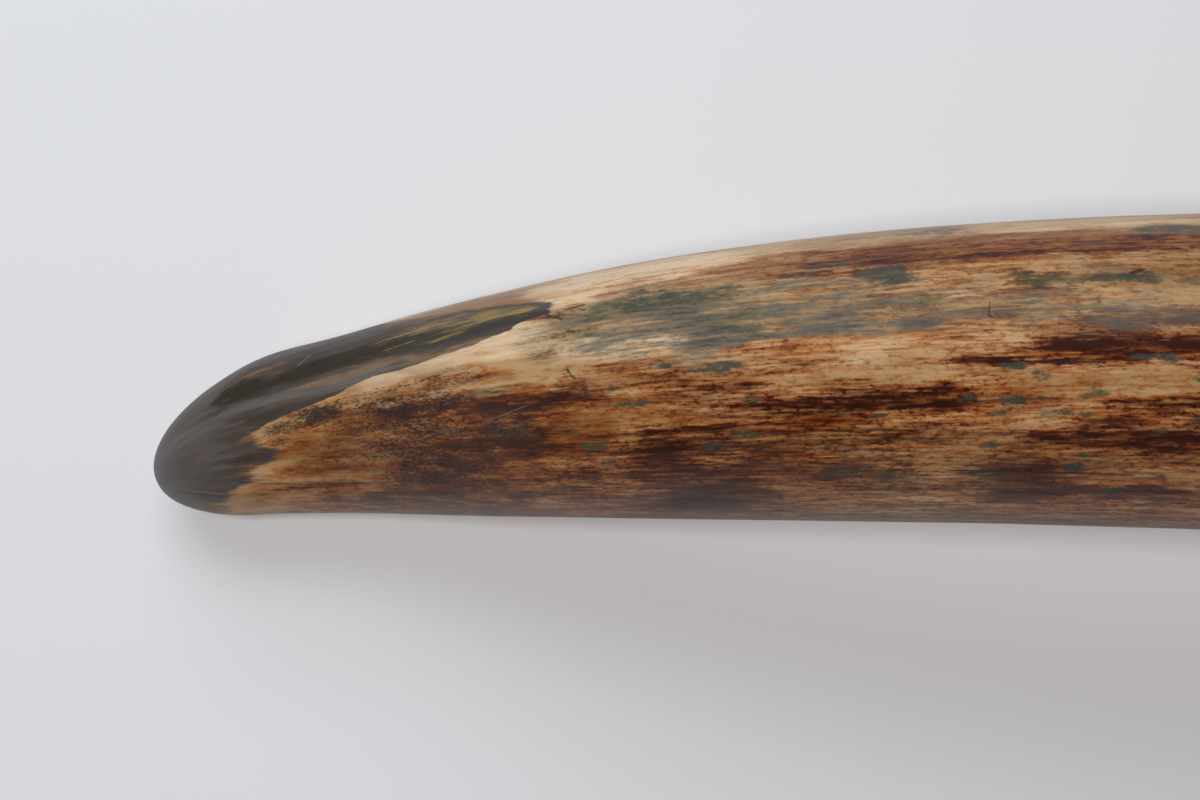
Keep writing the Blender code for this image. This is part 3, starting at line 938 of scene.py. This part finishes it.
colour = net.mix(1.0, colour, tint, "MULTIPLY")
dulled = net.math("MULTIPLY", near_tip, net.steps(iron, 0.45, 0.95, 0.0, 0.62))
colour = net.mix(dulled, colour, MASS_BROWN)

# Blue grey and mauve hazes, which dull the streaks that they cover
haze = centred(dashes, 1.0, centred(grit_pattern, 1.0))
haze = centred(grained(17.0, 2.8, 71.0, 5.0, 0.6), 2.6, haze)
haze = net.math("MULTIPLY", haze, net.math("MULTIPLY", slates, 2.0, clamp=True))
haze = net.math("MULTIPLY_ADD", slates, 1.05, haze)
washed = net.steps(washes, 0.20, 0.55)
haze_colour = net.mix(washed, net.mix(net.steps(teals, 0.10, 0.45), SLATE, MOSS), MAUVE)
colour = net.mix(net.steps(haze, 0.0, 0.85, 0.0, 0.84), colour, haze_colour)
deep_colour = net.mix(washed, DEEP_SLATE, DEEP_MAUVE)
colour = net.mix(net.steps(haze, 0.75, 1.30, 0.0, 0.75), colour, deep_colour)

# Blue green and olive mineral spots
teal_pattern = net.math("MULTIPLY_ADD", dots, 0.4, net.math("MULTIPLY", spots, 0.6))
teal_share = edged(teals, teal_pattern, 2.2, 0.50, 0.27)
teal_colour = net.mix(net.steps(blotches, 0.42, 0.58), OLIVE_GREEN, TEAL)
colour = net.mix(net.math("MULTIPLY", teal_share, 0.86), colour, teal_colour)

# Manganese speckles, which run together into a dark mass where they are dense
mass_pattern = net.math("MULTIPLY_ADD", dots, 0.6, net.math("MULTIPLY", spots, 0.4))
mass_share = edged(speckles, mass_pattern, 2.6, 0.74, 0.45)
colour = net.mix(net.math("MULTIPLY", mass_share, 0.66), colour, MASS_BROWN)
speckle_share = edged(speckles, dots, 2.6, 0.70, 0.22)
colour = net.mix(net.math("MULTIPLY", speckle_share, 0.76), colour, BLUE_BLACK)

# The coat of the worn tip, with yellow olive streaks at its outer end
coat_share = edged(coats, grained(7.0, 1.1, 81.0, 4.0), 0.9, 0.5, 0.17)
coat_pattern = grained(9.0, 3.2, 85.0, 5.0, 0.6)
coat_colour = net.mix(net.steps(blotches, 0.40, 0.60), COAT_BROWN, COAT_GREY)
# Painted sheen: the tip's last 3 cm fade into light grey for the shine of its polish
tip_sheen_share = net.steps(centred(blotches, 0.05, split[0]), 0.030, 0.004)
coat_colour = net.mix(tip_sheen_share, coat_colour, TIP_SHEEN_GREY)
# Painted sheen: light grey laid over the coat's ridge, upper edge and tip for the softbox's reflection
coat_colour = net.mix(edged(painted_sheens, coat_pattern, 1.6, 0.5, 0.35), coat_colour, SHEEN_GREY)
coat_colour = net.mix(edged(blacks, coat_pattern, 1.2, 0.5, 0.34), coat_colour, CHANNEL_BLACK)
coat_colour = net.mix(edged(bares, coat_pattern, 2.2, 0.50, 0.35), coat_colour, COAT_TAN)
olive_share = edged(olives, grained(11.0, 0.8, 91.0, 4.0), 3.2, 0.78, 0.24)
coat_colour = net.mix(olive_share, coat_colour, YELLOW_OLIVE)
coat_mottle = centred(long_fibres, 0.9, centred(grit_pattern, 0.9))
coat_mottle = net.math("MULTIPLY", coat_mottle, net.steps(split[0], 0.012, 0.040))
coat_mottle = centred(coat_pattern, 0.8, net.math("ADD", coat_mottle, 1.0))
mottle_colour = net.put("ShaderNodeCombineColor", {0: coat_mottle, 1: coat_mottle, 2: coat_mottle})
coat_colour = net.mix(1.0, coat_colour, mottle_colour, "MULTIPLY")
colour = net.mix(net.math("MULTIPLY", coat_share, 0.96), colour, coat_colour)

# Cracks, nicks and scratches, each a straight mark from one place to another: from mm, from degrees,
# to mm, to degrees, breadth in mm
BLACK_MARKS = [
    (103, 42.5, 112, 42, 0.4), (112, 43.5, 115.5, 39.5, 0.9), (112, 41.5, 115, 42, 0.6),
    (117, 45, 121.5, 46.5, 0.8), (120, 44, 121.5, 43, 0.5), (133, 37.5, 146, 36, 0.30),
    (83, 4, 89, 6.5, 0.6), (116, 13, 116.6, 10.5, 0.5), (116.6, 9.8, 117.6, 8.6, 0.6),
    (216.7, 27, 216.3, 22.5, 0.3), (216, 22, 216.9, 21, 0.5), (145, -54, 150, -54.8, 0.5),
    (24, -27, 32, -33, 0.45), (32, -33, 44, -38, 0.5), (44, -38, 60, -40, 0.45),
    (188, 50.5, 262, 50.5, 0.35), (224, 3.6, 242, 3.2, 0.5), (252, -11.5, 268, -11.5, 0.4),
    (207, -38.5, 250, -40, 0.4), (249.5, 37.5, 252, 39, 0.9),
]
TAN_MARKS = [
    (5, -21, 10, -29, 0.8), (10, -29, 20, -38, 0.9), (20, -38, 30, -48, 0.7),
]
PALE_MARKS = [
    (46.5, 56.5, 49.8, 62, 0.6), (93, -8, 105, -2, 0.28), (74, -14, 85, -10, 0.28),
]
here = net.attribute("place")
ragged_edge = centred(grained(1.6, 1.2, 7.0, 2.0), 1.4)


def marked(marks):
    covered = None
    for first, low, last, high, breadth in marks:
        mask = group(
            fine_mark, Here=here, Ragged=ragged_edge, Breadth=breadth,
            From=(first, low, 0.0), To=(last, high, 0.0),
        )
        covered = mask if covered is None else net.math("MAXIMUM", covered, mask)
    return covered


black_share = marked(BLACK_MARKS)
pale_share = marked(PALE_MARKS)
tan_share = marked(TAN_MARKS)
colour = net.mix(net.math("MULTIPLY", tan_share, 0.6), colour, GOLD)
colour = net.mix(net.math("MULTIPLY", black_share, 0.80), colour, BLUE_BLACK)
colour = net.mix(net.math("MULTIPLY", pale_share, 0.55), colour, SCRATCH_GREY)

# Polish: a little duller over the coat and in broad blotches
gloss = net.math("MULTIPLY_ADD", fine_fibres, 0.10, 0.36)
gloss = net.math("MULTIPLY_ADD", coat_share, 0.05, gloss)
gloss = net.math("MULTIPLY_ADD", blotches, 0.06, gloss)
height = net.math("MULTIPLY", long_fibres, 0.35)
height = net.math("MULTIPLY_ADD", fine_fibres, 0.15, height)
height = net.math("MULTIPLY_ADD", spots, 0.25, height)
bump = net.put("ShaderNodeBump", {"Strength": 0.35, "Distance": 0.00012, "Height": height})
links = ivory.node_tree.links
links.new(colour, shader.inputs["Base Color"])
links.new(gloss, shader.inputs["Roughness"])
links.new(bump, shader.inputs["Normal"])
shader.inputs["IOR"].default_value = IVORY_IOR
shader.inputs["Specular IOR Level"].default_value = 0.40

# Material of the sawn rim and the pulp cavity: bare dentine, darker and duller inside. Growth rings
# run round the rim, the saw left straight marks across it, and the cavity has faint ripples.
RING_BROWN = (0.30, 0.175, 0.090, 1.0)
RING_TAN = (0.47, 0.31, 0.175, 1.0)
MOTTLE_BROWN = (0.20, 0.095, 0.045, 1.0)
BARK_BROWN = (0.16, 0.08, 0.042, 1.0)
CAVITY_BROWN = (0.085, 0.050, 0.030, 1.0)
RINGS_ACROSS = 46.0
RING_DRIFT = 60.0
SAW_PITCH = 1400.0
SAW_SLANT = 260.0
dentine = bpy.data.materials.new("bare_dentine")
dentine.use_nodes = True
net = Net(dentine.node_tree)
dentine_shader = dentine.node_tree.nodes["Principled BSDF"]
object_place = net.put("ShaderNodeTexCoord", out=3)
section_share = net.attribute("wear", 3)
split = net.put("ShaderNodeSeparateXYZ", {0: net.attribute("grain")}).node.outputs
ring_place = net.put(
    "ShaderNodeCombineXYZ",
    {
        0: net.math("MULTIPLY", section_share, RINGS_ACROSS),
        1: net.math("MULTIPLY", split[0], RING_DRIFT),
    },
)
ring_noise = net.put(
    "ShaderNodeTexNoise", {"Vector": ring_place, "Scale": 1.0, "Detail": 4.0, "Roughness": 0.65}
)
mottle = net.put(
    "ShaderNodeTexNoise", {"Vector": object_place, "Scale": 120.0, "Detail": 4.0, "Roughness": 0.6}
)
object_split = net.put("ShaderNodeSeparateXYZ", {0: object_place}).node.outputs
saw_place = net.put(
    "ShaderNodeCombineXYZ",
    {
        0: net.math(
            "MULTIPLY_ADD", object_split[2], SAW_PITCH, net.math("MULTIPLY", object_split[0], SAW_SLANT)
        )
    },
)
saw_noise = net.put("ShaderNodeTexNoise", {"Vector": saw_place, "Scale": 1.0, "Detail": 2.0})
depth_share = net.steps(split[0], LENGTH - CAVITY_DEPTH, LENGTH)
colour = net.mix(net.steps(ring_noise, 0.35, 0.65), RING_BROWN, RING_TAN)
colour = net.mix(net.steps(mottle, 0.45, 0.70, 0.0, 0.5), colour, MOTTLE_BROWN)
colour = net.mix(net.steps(section_share, 0.955, 0.985, 0.0, 0.7), colour, BARK_BROWN)
colour = net.mix(depth_share, CAVITY_BROWN, colour)
relief_height = net.math("MULTIPLY_ADD", saw_noise, 0.6, ring_noise)
bump = net.put("ShaderNodeBump", {"Strength": 0.5, "Distance": 0.0003, "Height": relief_height})
dentine.node_tree.links.new(colour, dentine_shader.inputs["Base Color"])
dentine.node_tree.links.new(bump, dentine_shader.inputs["Normal"])
dentine_shader.inputs["Roughness"].default_value = 0.60
dentine_shader.inputs["IOR"].default_value = IVORY_IOR

tusk_data.materials.append(ivory)
tusk_data.materials.append(dentine)
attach(tusk, "root")
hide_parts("tusk")


# The surface it lies on
bpy.ops.mesh.primitive_plane_add(size=8.0, location=(0.0, 0.0, 0.0))
floor = bpy.context.active_object
floor.name = "pale_floor"
floor_material = bpy.data.materials.new("pale_paper")
floor_material.use_nodes = True
floor_shader = floor_material.node_tree.nodes["Principled BSDF"]
floor_shader.inputs["Base Color"].default_value = (0.792, 0.795, 0.825, 1.0)
floor_shader.inputs["Roughness"].default_value = 0.85
floor_shader.inputs["Specular IOR Level"].default_value = 0.15
floor.data.materials.append(floor_material)

# Light: a lamp high over the camera, a cool softbox beyond the outer side with a dimmer panel below
# it, a weak panel that alone is mirrored in the polish, and a dim room
TIP = Vector((shift_x, shift_y, 0.0))
VIEW_CENTRE = TIP + Vector((0.1203, 0.0231, 0.0))
VIEW_HEIGHT = 0.784
LAMP_DISTANCE = 1.6


def softbox(name, azimuth, elevation, size, power, colour, mirrored=False):
    """An area light at an azimuth from +X and an elevation, facing the view's centre."""
    data = bpy.data.lights.new(name, "AREA")
    data.shape = "RECTANGLE"
    data.size, data.size_y = size
    data.energy = power
    data.color = colour
    lamp = bpy.data.objects.new(name, data)
    turn, lift = math.radians(azimuth), math.radians(elevation)
    away = Vector((math.cos(turn) * math.cos(lift), math.sin(turn) * math.cos(lift), math.sin(lift)))
    lamp.location = VIEW_CENTRE + away * LAMP_DISTANCE
    lamp.rotation_euler = (-away).to_track_quat("-Z", "Y").to_euler()
    lamp.visible_glossy = mirrored
    bpy.context.scene.collection.objects.link(lamp)


WARM_WHITE = (1.0, 0.965, 0.94)
COOL_WHITE = (0.84, 0.955, 1.0)
SOFT_WHITE = (0.88, 0.96, 1.0)
KEY_AZIMUTH = 106.0
softbox("overhead_lamp", 180.0, 82.5, (0.34, 0.34), 14.2, WARM_WHITE)
softbox("key_softbox", KEY_AZIMUTH, 52.0, (1.2, 0.50), 7.4, COOL_WHITE)
softbox("low_panel", KEY_AZIMUTH, 29.5, (1.2, 0.25), 4.9, SOFT_WHITE)
softbox("sheen_panel", KEY_AZIMUTH, 50.0, (1.4, 0.70), 1.1, SOFT_WHITE, mirrored=True)

world = bpy.data.worlds.new("dim_room")
world.use_nodes = True
background = world.node_tree.nodes["Background"]
background.inputs["Color"].default_value = (1.0, 0.98, 0.96, 1.0)
background.inputs["Strength"].default_value = 0.04
bpy.context.scene.world = world

# Camera: straight down on the tip's last quarter of a metre
camera_data = bpy.data.cameras.new("camera")
camera_data.lens = 85.0
camera_data.sensor_width = 36.0
camera = bpy.data.objects.new("camera", camera_data)
camera.location = VIEW_CENTRE + Vector((0.0, 0.0, VIEW_HEIGHT))
bpy.context.scene.collection.objects.link(camera)
bpy.context.scene.camera = camera
bpy.context.scene.view_settings.view_transform = "Standard"
